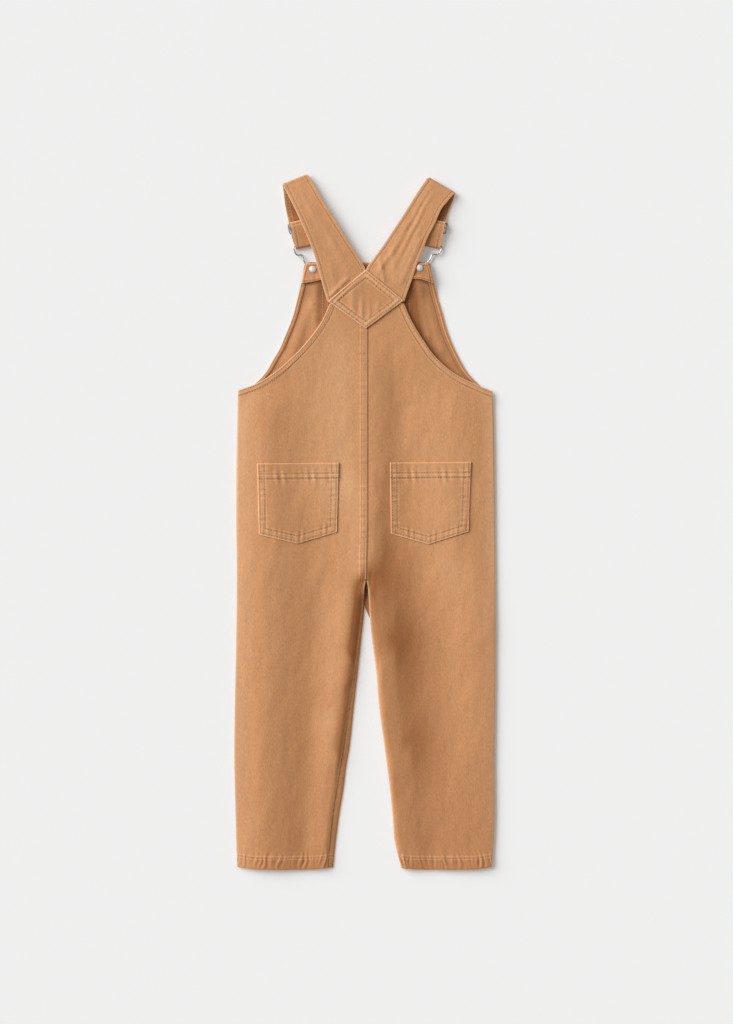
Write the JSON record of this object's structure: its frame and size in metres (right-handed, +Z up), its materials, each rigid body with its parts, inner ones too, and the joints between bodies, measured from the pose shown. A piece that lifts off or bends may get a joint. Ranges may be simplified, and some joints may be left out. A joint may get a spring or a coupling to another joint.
{
  "type": "child's dungarees, laid flat",
  "caption": "Child's cotton twill dungarees laid flat with the back up: crossed straps to a diamond yoke, wire buckles, patch pockets and hemmed legs.",
  "frame": {"origin": "middle of the flat outline, on the surface that the garment lies on", "axes": "+Y towards the shoulder folds of the straps, +X to the right as seen from the back, +Z up out of the back"},
  "size_m": [0.287, 0.7644, 0.0105],
  "materials": {
    "twill": "garment-dyed tan cotton twill, faded on seams and edges",
    "strap_twill": "the same twill, doubled and topstitched",
    "wire": "plated steel wire",
    "button_metal": "plain silvery metal, unmarked"
  },
  "bodies": {
    "root": {"back_left": "twill", "back_right": "twill", "front_left": "twill", "front_right": "twill", "bib": "twill", "bib_facing": "twill", "bib_pocket": "twill", "pocket_left": "twill", "pocket_right": "twill", "yoke_patch": "twill", "strap_left": "strap_twill", "strap_right": "strap_twill", "slider_left": "wire", "slider_right": "wire", "buckle_left": "wire", "buckle_right": "wire", "button_left": "button_metal", "button_right": "button_metal", "tack_left": "button_metal", "tack_right": "button_metal"}
  },
  "joints": []
}
